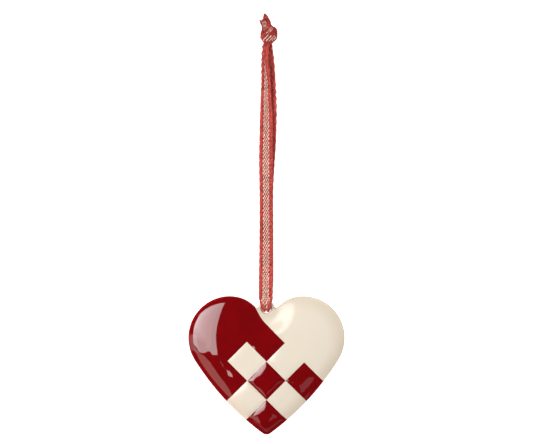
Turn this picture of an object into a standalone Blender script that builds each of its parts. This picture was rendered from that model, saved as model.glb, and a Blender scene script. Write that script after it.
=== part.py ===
"""A puffed metal heart ornament in a woven two-colour pattern, with its hanging ribbon.

The heart lies on its flat back with the front face up. Z is up, the tip points to -Y and the
ribbon runs off to +Y. The origin is under the middle of the heart, on the surface it lies on.
"""

import math

import bmesh
import bpy
import numpy as np
from mathutils import Vector
from mathutils.geometry import delaunay_2d_cdt

MM = 0.001

# Heart outline, seen from the front
HEART_WIDTH = 70.0 * MM
HEART_HEIGHT = 62.0 * MM
LOBE_RADIUS = 18.7 * MM
SHOULDER_RADIUS = 15.4 * MM
FLANK_RADIUS = 120.0 * MM
TIP_RADIUS = 2.9 * MM
CLEFT_RADIUS = 8.0 * MM

# Heart thickness: above and below the widest line, which the rim follows
FRONT_RISE = 5.1 * MM
BACK_DEPTH = 3.2 * MM
FRONT_FULLNESS = 3.0
BACK_RIM = 0.32
PUFF_CENTRE_Y = 3.5 * MM

# Eyelet that stands in the cleft
HOLE_DIAMETER = 4.0 * MM
HOLE_DROP = 5.7 * MM
EYELET_RIM = 1.7 * MM
EYELET_FRONT = 1.4 * MM
EYELET_BACK = 1.2 * MM
EYELET_ROUND = 0.85 * MM
DIP_RADIUS = 0.9 * MM
FRONT_DISH = 13.5 * MM
BACK_DISH = 10.0 * MM

# Weave: strips that run at 45 degrees, and the grooves between the two colours
STRIP = 12.1 * MM
LEFT_STRIP = 12.4 * MM
RIGHT_STRIP = 11.6 * MM
WEAVE_DROP = 37.5 * MM
GROOVE_DEPTH = 0.14 * MM
GROOVE_MARGIN = 4.3 * MM
GROOVE_POWER = 3
GROOVE_FADE = 0.10
# How far each square swells over its seams: by its strip along the right, then along the left
SWELLS = np.array(((0.0, 0.55, 0.66), (0.14, 0.74, 0.20), (0.0, 0.60, 0.14))) * MM
# How the curved seam leaves the weave and meets the outline, as shares of its length
SEAM_LEAVE = 0.42
SEAM_ARRIVE = 0.22

# Ribbon: a flat woven tape
TAPE_WIDTH = 6.0 * MM
TAPE_THICKNESS = 0.8 * MM
FOLD_THICKENING = 0.5

# Route of the ribbon from the knot, through the eyelet and back: x, y, z in mm, and how much
# of its width shows where it is gathered
FRONT_STRAND = (
    (-0.1, 143.9, 2.25, 0.49), (-0.6, 139.8, 2.7, 0.52), (-0.65, 134.5, 2.6, 0.58),
    (-0.25, 127.0, 2.25, 0.71), (-0.2, 118.0, 1.9, 0.85), (-0.05, 108.0, 1.75, 1.0),
    (-0.2, 92.0, 1.7, 1.05), (-0.15, 76.0, 1.7, 1.0), (-0.1, 60.0, 1.75, 1.02),
    (-0.15, 48.0, 2.1, 1.05), (-0.2, 40.5, 3.0, 1.06), (-0.3, 34.8, 4.2, 1.06),
    (-0.35, 31.0, 4.9, 1.03), (-0.3, 28.6, 5.15, 0.88), (-0.2, 26.2, 4.85, 0.68),
    (-0.2, 24.9, 4.2, 0.52), (-0.2, 24.5, 3.2, 0.48),
)
BACK_STRAND = (
    (-0.1, 24.8, 2.2, 0.48), (0.0, 26.2, 1.3, 0.58), (0.0, 28.5, 0.9, 0.70),
    (0.0, 32.0, 0.75, 0.84), (0.0, 37.0, 0.6, 1.0), (0.0, 48.0, 0.55, 1.0),
    (0.0, 62.0, 0.55, 1.0), (0.0, 78.0, 0.55, 1.0), (0.6, 90.0, 0.55, 1.0),
    (1.2, 99.0, 0.55, 1.0), (1.5, 108.0, 0.55, 1.0), (1.6, 116.0, 0.55, 0.98),
    (1.65, 124.0, 0.6, 0.86), (1.6, 132.0, 0.7, 0.73), (1.35, 138.5, 0.8, 0.62),
    (1.0, 143.9, 1.0, 0.50),
)

# Cross-section of the tape, in shares of its half width and of its half thickness
TAPE_SECTION = ((-0.9, -1), (0.9, -1), (1, -0.4), (1, 0.4), (0.9, 1), (-0.9, 1), (-1, 0.4), (-1, -0.4))

# Knot: an overhand knot just past the strands' ends, with two short tails
KNOT_WIDTH = 7.4 * MM
KNOT_LENGTH = 7.9 * MM
KNOT_DEPTH = 5.4 * MM
KNOT_ASIDE = 0.95 * MM
KNOT_GAP = 0.3 * MM
REST_GAP = 0.15 * MM
KNOT_SQUARENESS = 0.8
KNOT_SLANT = 0.55
KNOT_BAND = 0.36
KNOT_BAND_RISE = 0.45 * MM
UPPER_TAIL = (
    (1.2, 148.8, 3.4, 0.60), (0.6, 151.2, 4.2, 0.58), (0.0, 153.2, 4.2, 0.56),
    (-0.4, 155.4, 3.8, 0.38), (-0.8, 157.4, 3.2, 0.12),
)
SIDE_TAIL = (
    (-0.4, 147.6, 3.6, 0.48), (-0.6, 150.0, 5.1, 0.50),
    (-1.0, 152.4, 5.7, 0.52), (-1.9, 154.8, 5.5, 0.58),
)

# How finely the faceted solids are cut
OUTLINE_STEP = 1.8 * MM
FIELD_STEP = 2.4 * MM
BACK_FIELD_STEP = 9.6 * MM
SMALL_STEP = 0.6 * MM
LOOSE_GAP = 1.0 * MM
EDGE_GAP = 0.1 * MM
SAME_PLACE = 0.0001 * MM
HOLE_SIDES = 24
DISH_SIDES = 36
KNOT_COLUMNS = 28
KNOT_ROWS = 20
# Lines that the triangles follow, as shares: of the way out to the rim, front and back, of the
# eyelet's ring, of the dish round it, and of the groove's margin
FRONT_RIM_LINES = (0.993, 0.975, 0.945, 0.9, 0.84)
BACK_RIM_LINES = (0.99, 0.96, 0.91, 0.84, 0.76, 1 - BACK_RIM)
RING_LINES = (0.12, 0.3, 0.5, 0.75)
DISH_LINES = (0.14, 0.3, 0.46, 0.62, 0.78)
GROOVE_LINES = (0, -0.2, 0.2, -0.5, 0.5, -0.9, 0.9)
# Where the field of loose points, the seams and the lines round the eyelet end
FIELD_REACH = 0.84
SEAM_REACH = 0.975
EYELET_CLEAR = 1.2


def arc(centre, radius, start, end, step=OUTLINE_STEP):
    """Points on a round arc from one angle to another, both ends included."""
    count = max(3, int(math.ceil(abs(end - start) * radius / step)) + 1)
    angles = np.linspace(start, end, count)
    return np.column_stack((centre[0] + radius * np.cos(angles), centre[1] + radius * np.sin(angles)))


def angle_to(start, end):
    """Direction from one point to another, in radians."""
    return math.atan2(end[1] - start[1], end[0] - start[0])


def touching_centre(first, first_distance, second, second_distance, side):
    """The point at the two given distances from two points, on the named side of their line."""
    gap = second - first
    length = np.hypot(*gap)
    along = (first_distance**2 - second_distance**2 + length**2) / (2 * length)
    across = math.sqrt(max(first_distance**2 - along**2, 0.0))
    unit = gap / length
    return first + unit * along + side * across * np.array((-unit[1], unit[0]))


# Centres of the outline's arcs, on the right half
LOBE = np.array((HEART_WIDTH / 2 - LOBE_RADIUS, HEART_HEIGHT / 2 - LOBE_RADIUS))
SHOULDER = np.array((LOBE[0], HEART_HEIGHT / 2 - SHOULDER_RADIUS))
TIP = np.array((0.0, TIP_RADIUS - HEART_HEIGHT / 2))
HOLE = np.array((0.0, HEART_HEIGHT / 2 - HOLE_DROP))
PUFF = np.array((0.0, PUFF_CENTRE_Y))
WEAVE = np.array((0.0, HEART_HEIGHT / 2 - WEAVE_DROP))
EYELET_RADIUS = HOLE_DIAMETER / 2 + EYELET_RIM


def lower_half():
    """The right half of the outline from the lobe's top, by the flank, to the tip."""
    flank = touching_centre(LOBE, FLANK_RADIUS - LOBE_RADIUS, TIP, FLANK_RADIUS - TIP_RADIUS, -1)
    to_lobe = angle_to(flank, LOBE)
    to_tip = angle_to(flank, TIP)
    return np.concatenate((
        arc(LOBE, LOBE_RADIUS, math.pi / 2, to_lobe)[1:],
        arc(flank, FLANK_RADIUS, to_lobe, to_tip)[1:],
        arc(TIP, TIP_RADIUS, to_tip, -math.pi / 2, SMALL_STEP)[1:],
    ))


def cleft_half(radius):
    """The right half from the bottom of a round cleft between the lobes to the lobe's top."""
    reach = SHOULDER_RADIUS + radius
    bottom = np.array((0.0, SHOULDER[1] + math.sqrt(reach**2 - SHOULDER[0] ** 2)))
    meet = angle_to(SHOULDER, bottom)
    return np.concatenate((
        arc(bottom, radius, -math.pi / 2, meet - math.pi, SMALL_STEP),
        arc(SHOULDER, SHOULDER_RADIUS, meet, math.pi / 2)[1:],
    ))


def eyelet_half():
    """The right half from the top of the eyelet, round its dip, to the lobe's top."""
    dip = touching_centre(HOLE, EYELET_RADIUS + DIP_RADIUS, SHOULDER, SHOULDER_RADIUS + DIP_RADIUS, 1)
    from_eyelet = angle_to(HOLE, dip)
    from_shoulder = angle_to(SHOULDER, dip)
    return np.concatenate((
        arc(HOLE, EYELET_RADIUS, math.pi / 2, from_eyelet, SMALL_STEP),
        arc(dip, DIP_RADIUS, from_eyelet - math.pi, from_shoulder - math.pi, SMALL_STEP)[1:],
        arc(SHOULDER, SHOULDER_RADIUS, from_shoulder, math.pi / 2)[1:],
    ))


def both_halves(upper):
    """A closed outline, clockwise from the top, from its upper right part and its mirror image."""
    half = np.concatenate((upper, lower_half()))
    mirrored = half[-2:0:-1] * (-1, 1)
    return np.concatenate((half, mirrored))


def share_of_reach(points, outline):
    """How far each point is from the puff's centre, as a share of the outline's reach that way."""
    turn = np.arctan2(outline[:, 0], outline[:, 1] - PUFF[1])
    reach = np.hypot(outline[:, 0], outline[:, 1] - PUFF[1])
    order = np.argsort(turn)
    offset = points - PUFF
    return np.hypot(*offset.T) / np.interp(
        np.arctan2(offset[:, 0], offset[:, 1]), turn[order], reach[order], period=2 * math.pi
    )


def inside(points, outline):
    """Which points a closed outline holds: a line from them to +X crosses it an odd number of times."""
    following = np.roll(outline, -1, axis=0)
    y = points[:, 1:]
    crossed = (outline[:, 1] > y) != (following[:, 1] > y)
    rise = np.where(outline[:, 1] == following[:, 1], 1.0, following[:, 1] - outline[:, 1])
    meets = outline[:, 0] + (y - outline[:, 1]) / rise * (following[:, 0] - outline[:, 0])
    return (crossed & (points[:, :1] < meets)).sum(axis=1) % 2 == 1


def weave_point(along_right, along_left):
    """A point of the weave from its places along the right lobe's and the left lobe's strips."""
    return WEAVE + np.array((along_right + along_left, along_right - along_left)) / math.sqrt(2)


def cleft_seam():
    """The edge of the left lobe beside the eyelet, from the weave's top corner to the outline."""
    start = weave_point(STRIP / 2 + RIGHT_STRIP, -STRIP / 2 - LEFT_STRIP)
    angle = math.pi - angle_to(SHOULDER, HOLE + np.array((EYELET_RADIUS, EYELET_RADIUS)))
    centre = SHOULDER * (-1, 1)
    end = centre + SHOULDER_RADIUS * np.array((math.cos(angle), math.sin(angle)))
    leave = np.array((-1, 1)) / math.sqrt(2) * np.hypot(*(end - start)) * SEAM_LEAVE
    arrive = np.array((math.sin(angle), -math.cos(angle))) * np.hypot(*(end - start)) * SEAM_ARRIVE
    t = np.linspace(0, 1, 9)[:, None]
    return (
        (1 - t) ** 3 * start + 3 * (1 - t) ** 2 * t * (start + leave)
        + 3 * (1 - t) * t**2 * (end + arrive) + t**3 * end
    )


def colour_seams():
    """Every line where the two colours meet, each as a row of points that may run past the rim."""
    inner = STRIP / 2
    right = inner + RIGHT_STRIP
    left = -inner - LEFT_STRIP
    far = HEART_WIDTH
    seams = [
        (weave_point(right, -inner), weave_point(-far, -inner)),
        (weave_point(right, inner), weave_point(-far, inner)),
        (weave_point(-inner, left), weave_point(-inner, far)),
        (weave_point(inner, left), weave_point(inner, far)),
        (weave_point(-inner, left), weave_point(inner, left)),
        (weave_point(right, left), weave_point(right, -inner)),
        (weave_point(right, inner), weave_point(right, far)),
    ]
    return [np.array(seam) for seam in seams] + [cleft_seam()]


def distance_to_row(points, row):
    """Distance of each point to a row of straight pieces."""
    best = np.full(len(points), np.inf)
    for start, end in zip(row[:-1], row[1:]):
        run = end - start
        share = np.clip((points - start) @ run / (run @ run), 0, 1)
        best = np.minimum(best, np.hypot(*(points - start - share[:, None] * run).T))
    return best


def fade(share):
    """A smooth fall from 1 to 0 as the share goes from 0 to 1."""
    share = np.clip(share, 0, 1)
    return 1 - share * share * (3 - 2 * share)


OUTLINE = both_halves(eyelet_half())
BODY_OUTLINE = both_halves(cleft_half(CLEFT_RADIUS))
SEAMS = colour_seams()


def swell_at(points):
    """How far the enamel swells: by the square that a point lies in, dying away into the lobes."""
    offset = (points - WEAVE) / math.sqrt(2)
    right = offset[:, 0] + offset[:, 1]
    left = offset[:, 0] - offset[:, 1]
    inner = STRIP / 2
    right_strip = np.digitize(right, (-inner, inner))
    left_strip = np.digitize(left, (-inner, inner))
    swell = SWELLS[right_strip, left_strip]
    to_lobe = fade((right - inner - RIGHT_STRIP / 3) / (RIGHT_STRIP * 2 / 3))
    swell = np.where((right_strip == 2) & (left_strip == 1), swell * to_lobe, swell)
    in_lobe = (left < -inner - LEFT_STRIP) | (right > inner + RIGHT_STRIP)
    return np.where(in_lobe, 0.0, swell)


def from_outline(points):
    """Distance of each point to the outline."""
    return distance_to_row(points, np.vstack((OUTLINE, OUTLINE[:1])))


def eyelet_share(points, dish):
    """1 on the eyelet, falling smoothly to 0 where the dish around it ends."""
    away = np.hypot(*(points - HOLE).T)
    return fade((away - EYELET_RADIUS) / (dish - EYELET_RADIUS))


def eyelet_round(points):
    """The rounded edge of the eyelet: a quarter round from the hole and from the outline."""
    in_hole = np.hypot(*(points - HOLE).T) - HOLE_DIAMETER / 2
    edge = np.minimum(in_hole, from_outline(points))
    return np.sqrt(1 - (1 - np.clip(edge / EYELET_ROUND, 0, 1)) ** 2)


def front_height(points):
    """Height of the front: a full puff that falls to the rim, dished at the eyelet, whose squares
    swell over the grooves between them."""
    share = np.clip(share_of_reach(points, BODY_OUTLINE), 0, 1)
    puff = FRONT_RISE * np.sqrt(1 - share**FRONT_FULLNESS)
    seam = np.min([distance_to_row(points, row) for row in SEAMS], axis=0)
    dip = np.clip(1 - seam / GROOVE_MARGIN, 0, 1) ** GROOVE_POWER
    groove = GROOVE_DEPTH * dip - swell_at(points) * (1 - dip)
    groove *= 1 - fade((1 - share) / GROOVE_FADE)
    eyelet = eyelet_share(points, FRONT_DISH)
    return BACK_DEPTH + (1 - eyelet) * puff + eyelet * EYELET_FRONT * eyelet_round(points) - groove


def back_height(points):
    """Height of the back: flat in the middle, with a quarter-round rim, raised at the eyelet."""
    share = np.clip(share_of_reach(points, BODY_OUTLINE), 0, 1)
    depth = BACK_DEPTH * np.sqrt(1 - (1 - np.clip((1 - share) / BACK_RIM, 0, 1)) ** 2)
    eyelet = eyelet_share(points, BACK_DISH)
    return BACK_DEPTH - (1 - eyelet) * depth - eyelet * EYELET_BACK * eyelet_round(points)


def material(name, colour, roughness, metallic=0.0):
    """A plain material of one colour."""
    made = bpy.data.materials.new(name)
    made.use_nodes = True
    shader = made.node_tree.nodes["Principled BSDF"]
    shader.inputs["Base Color"].default_value = (*colour, 1.0)
    shader.inputs["Roughness"].default_value = roughness
    shader.inputs["Metallic"].default_value = metallic
    return made


def add_object(name, bm, made):
    """Puts a bmesh into the scene as one smooth-shaded object."""
    bmesh.ops.recalc_face_normals(bm, faces=bm.faces)
    mesh = bpy.data.meshes.new(name)
    bm.to_mesh(mesh)
    bm.free()
    mesh.materials.append(made)
    mesh.shade_smooth()
    mesh.set_sharp_from_angle(angle=math.radians(40))
    item = bpy.data.objects.new(name, mesh)
    bpy.context.scene.collection.objects.link(item)
    return item


def spread(row, step):
    """The row's points with more between them, no further apart than the step."""
    pieces = []
    for start, end in zip(row[:-1], row[1:]):
        count = max(1, int(math.ceil(np.hypot(*(end - start)) / step)))
        pieces.append(start + (end - start) * np.arange(count)[:, None] / count)
    return np.concatenate(pieces + [row[-1:]])


def beside(row, offset):
    """The row moved sideways by the offset."""
    run = np.gradient(row, axis=0)
    normal = np.column_stack((-run[:, 1], run[:, 0])) / np.hypot(*run.T)[:, None]
    return row + normal * offset


def split_row(row, keep):
    """The unbroken stretches of a row whose points are kept."""
    breaks = np.nonzero(np.diff(keep))[0] + 1
    return [row[run] for run in np.split(np.arange(len(row)), breaks) if keep[run[0]]]


def rim_rows(shares):
    """Lines round the body, each a smaller copy of its outline, broken off at the eyelet."""
    rows = []
    for share in shares:
        row = PUFF + (np.vstack((BODY_OUTLINE, BODY_OUTLINE[:1])) - PUFF) * share
        away = np.hypot(*(row - HOLE).T)
        within = inside(row, OUTLINE) & (from_outline(row) > EDGE_GAP)
        rows += split_row(row, within & (away > EYELET_RADIUS * EYELET_CLEAR))
    return rows


def circle(radius, count):
    """A row of points round the hole's centre, whose last point is the first one again."""
    turns = np.linspace(0, 2 * math.pi, count + 1)
    row = HOLE + radius * np.column_stack((np.sin(turns), np.cos(turns)))
    return np.vstack((row[:-1], row[:1]))


def eyelet_rows(dish):
    """Lines round the hole: over the eyelet's rounded ring, and down the dish around it."""
    rows = [circle(HOLE_DIAMETER / 2 + EYELET_RIM * share, HOLE_SIDES) for share in RING_LINES]
    for share in DISH_LINES:
        row = circle(EYELET_RADIUS + (dish - EYELET_RADIUS) * share, DISH_SIDES)
        rows += split_row(row, share_of_reach(row, BODY_OUTLINE) < FIELD_REACH)
    return rows


def field(step):
    """A field of points over the heart's middle, in staggered rows."""
    up = np.arange(-HEART_HEIGHT / 2, HEART_HEIGHT / 2, step * math.sqrt(3) / 2)
    across = np.arange(-HEART_WIDTH / 2, HEART_WIDTH / 2, step)
    points = np.array([(x + (row % 2) * step / 2, y) for row, y in enumerate(up) for x in across])
    return points[share_of_reach(points, BODY_OUTLINE) < FIELD_REACH]


def clear_of(points, others, gap):
    """The points that are at least the gap away from all the others."""
    apart = np.hypot(points[:, None, 0] - others[None, :, 0], points[:, None, 1] - others[None, :, 1])
    return points[apart.min(axis=1) > gap]


def triangulate(rows, loose):
    """Triangles over the heart's outline, less the hole, that keep the rows' lines as edges."""
    hole = circle(HOLE_DIAMETER / 2, HOLE_SIDES)[:-1]
    points = [OUTLINE, hole]
    edges = [(i, (i + 1) % len(OUTLINE)) for i in range(len(OUTLINE))]
    edges += [(len(OUTLINE) + i, len(OUTLINE) + (i + 1) % len(hole)) for i in range(len(hole))]
    start = len(OUTLINE) + len(hole)
    for row in rows:
        ring = len(row) > 2 and (row[0] == row[-1]).all()
        corners = row[:-1] if ring else row
        points.append(corners)
        edges += [(start + i, start + (i + 1) % len(corners)) for i in range(len(row) - 1)]
        start += len(corners)
    fixed = np.concatenate(points)
    points.append(clear_of(loose, fixed, LOOSE_GAP))
    flat = [Vector(point) for point in np.concatenate(points) / MM]
    verts, _, faces = delaunay_2d_cdt(flat, edges, [], 0, SAME_PLACE / MM)[:3]
    flat = np.array([tuple(vert) for vert in verts]) * MM
    middles = flat[np.array(faces)].mean(axis=1)
    kept = inside(middles, OUTLINE) & ~inside(middles, hole)
    return flat, [face for face, keep in zip(faces, kept) if keep]


def groove_rows():
    """The seams and the lines beside them where their slopes begin, kept off the rim."""
    rows = []
    for seam in SEAMS:
        fine = spread(seam, FIELD_STEP)
        for offset in GROOVE_LINES:
            row = beside(fine, offset * GROOVE_MARGIN)
            share = share_of_reach(row, BODY_OUTLINE)
            keep = (share < SEAM_REACH) & (np.hypot(*(row - HOLE).T) > EYELET_RADIUS * EYELET_CLEAR)
            if offset:
                others = [other for other in SEAMS if other is not seam]
                nearest = np.min([distance_to_row(row, other) for other in others], axis=0)
                keep &= nearest > abs(offset) * GROOVE_MARGIN - SAME_PLACE
            rows += split_row(row, keep)
    return rows


def on_edge(points):
    """Which points lie on the outline or on the hole's edge, where front and back meet."""
    hole = np.abs(np.hypot(*(points - HOLE).T) - HOLE_DIAMETER / 2)
    return np.minimum(from_outline(points), hole) < SAME_PLACE


def build_heart():
    """The heart: a front and a back surface over one outline, joined along it and in the hole."""
    bm = bmesh.new()
    rim = {}
    front_rows = rim_rows(FRONT_RIM_LINES) + eyelet_rows(FRONT_DISH) + groove_rows()
    back_rows = rim_rows(BACK_RIM_LINES) + eyelet_rows(BACK_DISH)
    sides = (
        (front_height, front_rows, field(FIELD_STEP)),
        (back_height, back_rows, field(BACK_FIELD_STEP)),
    )
    for height, rows, loose in sides:
        flat, faces = triangulate(rows, loose)
        bridges = [flat[list(face)] for face in faces if on_edge(flat[list(face)]).all()]
        if bridges:
            flat, faces = triangulate(rows + [corners.mean(axis=0)[None] for corners in bridges], loose)
        edge = on_edge(flat)
        heights = np.where(edge, BACK_DEPTH, height(flat))
        made = []
        for (x, y), z, shared in zip(flat, heights, edge):
            key = (round(x / MM, 3), round(y / MM, 3))
            vert = rim.get(key) or bm.verts.new((x, y, z))
            if shared:
                rim[key] = vert
            made.append(vert)
        for face in faces:
            bm.faces.new([made[i] for i in (face if height is front_height else face[::-1])])
    bmesh.ops.delete(bm, geom=[vert for vert in bm.verts if not vert.link_faces], context="VERTS")
    return add_object("heart", bm, material("cream_and_red_enamel", (0.45, 0.12, 0.10), 0.12))


def smooth_route(points, parts=3):
    """A smooth curve through the points: a Catmull-Rom spline, each span cut into equal parts."""
    points = np.array(points, dtype=float)
    padded = np.vstack((2 * points[0] - points[1], points, 2 * points[-1] - points[-2]))
    pieces = []
    for before, start, end, after in zip(padded[:-3], padded[1:-2], padded[2:-1], padded[3:]):
        t = (np.arange(parts) / parts)[:, None]
        pieces.append(0.5 * (
            2 * start + (end - before) * t + (2 * before - 5 * start + 4 * end - after) * t**2
            + (3 * start - before - 3 * end + after) * t**3
        ))
    return np.vstack(pieces + [points[-1:]])


def add_strip(bm, route, parts=3):
    """A flat tape along a route of x, y, z in mm and share of width, its width kept along X."""
    curve = smooth_route(route, parts)
    path = curve[:, :3] * MM
    share = curve[:, 3]
    along = np.gradient(path, axis=0)
    along /= np.linalg.norm(along, axis=1)[:, None]
    across = np.array((1.0, 0.0, 0.0)) - along * along[:, :1]
    across /= np.linalg.norm(across, axis=1)[:, None]
    up = np.cross(along, across)
    half_width = (share * TAPE_WIDTH / 2)[:, None]
    half_depth = (TAPE_THICKNESS / 2 * (1 + FOLD_THICKENING * (1 - share)))[:, None]
    loops = []
    for a, b in TAPE_SECTION:
        loops.append(path + across * half_width * a + up * half_depth * b)
    grid = [[bm.verts.new(point) for point in ring] for ring in np.array(loops).transpose(1, 0, 2)]
    for ring, following in zip(grid[:-1], grid[1:]):
        for i in range(len(ring)):
            j = (i + 1) % len(ring)
            bm.faces.new((ring[i], ring[j], following[j], following[i]))
    bm.faces.new(grid[0])
    bm.faces.new(grid[-1][::-1])


def build_ribbon_loop(made):
    """The loop of tape: up from the knot's front, through the eyelet and back underneath."""
    bm = bmesh.new()
    add_strip(bm, FRONT_STRAND + BACK_STRAND)
    return add_object("ribbon_loop", bm, made)


def build_ribbon_knot(made):
    """The knot: a lump with a band of tape slanting round it, and its two tails, made one."""
    strand_end = max(FRONT_STRAND[0][1], BACK_STRAND[-1][1]) * MM
    centre = Vector((KNOT_ASIDE, strand_end + KNOT_GAP + KNOT_LENGTH / 2, REST_GAP + KNOT_DEPTH / 2))
    half_sizes = (KNOT_WIDTH / 2, KNOT_LENGTH / 2, KNOT_DEPTH / 2)
    bm = bmesh.new()
    bmesh.ops.create_uvsphere(bm, u_segments=KNOT_COLUMNS, v_segments=KNOT_ROWS, radius=1)
    for vert in bm.verts:
        way = vert.co.copy()
        slant = abs(way.y - KNOT_SLANT * way.x) / math.hypot(1, KNOT_SLANT)
        sunk = KNOT_BAND_RISE * (1 - fade((slant - KNOT_BAND) / (KNOT_BAND / 2)))
        square = [math.copysign(abs(part) ** KNOT_SQUARENESS, part) for part in way]
        lump = Vector([part * size for part, size in zip(square, half_sizes)])
        vert.co = centre + lump - way * float(sunk)
    knot = add_object("ribbon_knot", bm, made)
    for number, tail in enumerate((UPPER_TAIL, SIDE_TAIL)):
        bm = bmesh.new()
        add_strip(bm, tail, 2)
        cutter = add_object(f"tail_guide_{number}", bm, made)
        cutter.hide_render = True
        cutter.display_type = "WIRE"
        union = knot.modifiers.new(f"tail_{number}", "BOOLEAN")
        union.operation = "UNION"
        union.object = cutter
    return knot


for item in list(bpy.data.objects):
    bpy.data.objects.remove(item)

tape = material("woven_tape", (0.55, 0.10, 0.09), 0.85)
build_heart()
build_ribbon_loop(tape)
build_ribbon_knot(tape)
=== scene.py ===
"""A puffed enamelled heart ornament and the woven ribbon it hangs from, laid out for its picture."""

import math
from functools import partial

import bmesh
import bpy
import numpy as np
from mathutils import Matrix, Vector


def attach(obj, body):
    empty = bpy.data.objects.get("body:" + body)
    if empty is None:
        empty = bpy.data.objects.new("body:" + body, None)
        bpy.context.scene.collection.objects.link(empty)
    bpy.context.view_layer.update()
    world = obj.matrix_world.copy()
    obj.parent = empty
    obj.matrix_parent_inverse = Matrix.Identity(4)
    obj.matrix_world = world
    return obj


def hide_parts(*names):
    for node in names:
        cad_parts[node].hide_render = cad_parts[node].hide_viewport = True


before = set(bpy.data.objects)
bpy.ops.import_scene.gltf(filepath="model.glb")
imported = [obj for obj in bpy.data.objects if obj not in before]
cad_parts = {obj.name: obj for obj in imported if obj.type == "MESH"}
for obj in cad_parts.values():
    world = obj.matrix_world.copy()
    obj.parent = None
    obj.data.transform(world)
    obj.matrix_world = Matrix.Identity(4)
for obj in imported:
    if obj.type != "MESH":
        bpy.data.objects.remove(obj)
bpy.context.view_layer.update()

MM = 0.001

# Camera
# It looks straight down on the heart as it lies, with the ribbon running up the picture, so far
# away that the heart hardly shows any perspective.
PICTURE_WIDTH = 238.3 * MM
PICTURE_MIDDLE = Vector((0.0, 64.14 * MM, 4.0 * MM))
LENS_TO_SENSOR = 120 / 36

camera = bpy.data.objects.new("camera", bpy.data.cameras.new("camera"))
camera.data.sensor_width = 36
camera.data.lens = camera.data.sensor_width * LENS_TO_SENSOR
camera.location = PICTURE_MIDDLE + Vector((0, 0, PICTURE_WIDTH * LENS_TO_SENSOR))
bpy.context.scene.collection.objects.link(camera)
bpy.context.scene.camera = camera


# Ribbon
# A flat tape 6 mm wide, woven of cotton: six cream warp yarns down its middle, red ones along
# both edges, and a flat red weft. It runs from the knot, through the eyelet and back to the knot.
TAPE_WIDTH = 6.0 * MM
PICK = 0.92 * MM
CREAM_PITCH = 0.467 * MM
LEFT_PITCH = 0.39 * MM
RIGHT_PITCH = 0.41 * MM
LEFT_YARNS = 4
CREAM_YARNS = 6
RIGHT_YARNS = 4
WARP_HEIGHT = 0.30 * MM
WARP_WAVE = 0.17 * MM
CREAM_SPREAD = 0.43
RED_SPREAD = 0.54
TWILL_LENGTH = 1.5
FLOAT_HEIGHT = 0.12 * MM
WEFT_WIDTH = 0.86 * MM
WEFT_VARIES = (0.9, 1.1)
WEFT_HEIGHT = 0.24 * MM
WEFT_WAVE = 0.14 * MM
WEFT_BOW = 0.1 * MM
WEFT_INSET = 0.1 * MM
YARN_SIDES = 6
YARN_TAPER = 0.35
RINGS_PER_PICK = 4
SELVAGE_BUMP = 0.055 * MM
SELVAGE_PITCH = 3.7 * MM
SELVAGE_DRIFT = 5 * MM
SELVAGE_START = 1.6 * MM
SELVAGE_WIDTH = 1.2 * MM

# Route of each strand: x, y, z in mm, and the share of the tape's width that shows
FRONT_STRAND = (
    (-0.1, 143.9, 2.25, 0.49), (-0.6, 139.8, 2.7, 0.52), (-0.65, 134.5, 2.6, 0.58),
    (-0.25, 127.0, 2.25, 0.71), (-0.2, 118.0, 1.9, 0.85), (-0.05, 108.0, 1.75, 1.0),
    (-0.2, 92.0, 1.7, 1.05), (-0.15, 76.0, 1.7, 1.0), (-0.1, 60.0, 1.75, 1.02),
    (-0.15, 48.0, 2.1, 1.05), (-0.2, 40.5, 3.0, 1.06), (-0.3, 34.8, 4.2, 1.06),
    (-0.35, 31.0, 4.9, 1.03), (-0.3, 28.6, 5.15, 0.88), (-0.2, 26.2, 4.85, 0.68),
    (-0.2, 24.9, 4.2, 0.52), (-0.2, 24.5, 3.2, 0.48),
)
BACK_STRAND = (
    (-0.1, 24.8, 2.2, 0.48), (0.0, 26.2, 1.3, 0.58), (0.0, 28.5, 0.9, 0.70),
    (0.0, 32.0, 0.75, 0.84), (0.0, 37.0, 0.6, 1.0), (0.0, 48.0, 0.55, 1.0),
    (0.0, 62.0, 0.55, 1.0), (0.0, 78.0, 0.55, 1.0), (0.6, 90.0, 0.55, 1.0),
    (1.2, 99.0, 0.55, 1.0), (1.5, 108.0, 0.55, 1.0), (1.6, 116.0, 0.55, 0.98),
    (1.65, 124.0, 0.6, 0.86), (1.6, 132.0, 0.7, 0.73), (1.35, 138.5, 0.8, 0.62),
    (1.0, 143.9, 1.0, 0.50),
)
# Where each strand ends inside the knot
FRONT_IN_KNOT = (0.5, 146.4, 1.9, 0.40)
BACK_IN_KNOT = (0.9, 146.4, 2.3, 0.40)
# How the edges curl: y in mm, the angle that they turn through, how high they rise in mm, and how
# strongly the cream middle is pinched between them
FRONT_FOLDS = (
    (146.4, 90, 0.3, 7.0), (143.9, 90, 0.45, 7.0), (139.8, 80, 0.7, 6.0), (135.5, 70, 0.6, 3.0),
    (131.0, 62, 0.5, 2.0), (127.0, 55, 0.4, 1.5), (118.0, 40, 0.25, 1.25), (108.0, 20, 0.1, 1.1),
    (92.0, 5, 0.0, 1.0), (42.0, 5, 0.0, 1.0), (36.0, 40, 0.2, 1.1), (31.0, 75, 0.4, 1.35),
    (29.5, 115, 0.45, 1.25), (27.5, 155, 0.5, 1.1), (26.2, 165, 0.55, 1.0), (24.9, 170, 0.6, 1.0),
    (24.5, 170, 0.6, 1.0),
)
BACK_FOLDS = (
    (24.9, 80, 0.3, 1.5), (26.2, 70, 0.1, 1.3), (28.5, 50, 0.0, 1.2), (32.0, 30, 0.0, 1.0),
    (37.0, 5, 0.0, 1.0), (108.0, 20, -0.1, 1.4), (116.0, 45, -0.4, 3.0), (124.0, 60, -0.6, 4.2),
    (132.0, 60, -0.1, 4.2), (138.5, 60, 0.3, 4.5), (143.9, 60, 0.3, 4.5),
)

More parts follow.
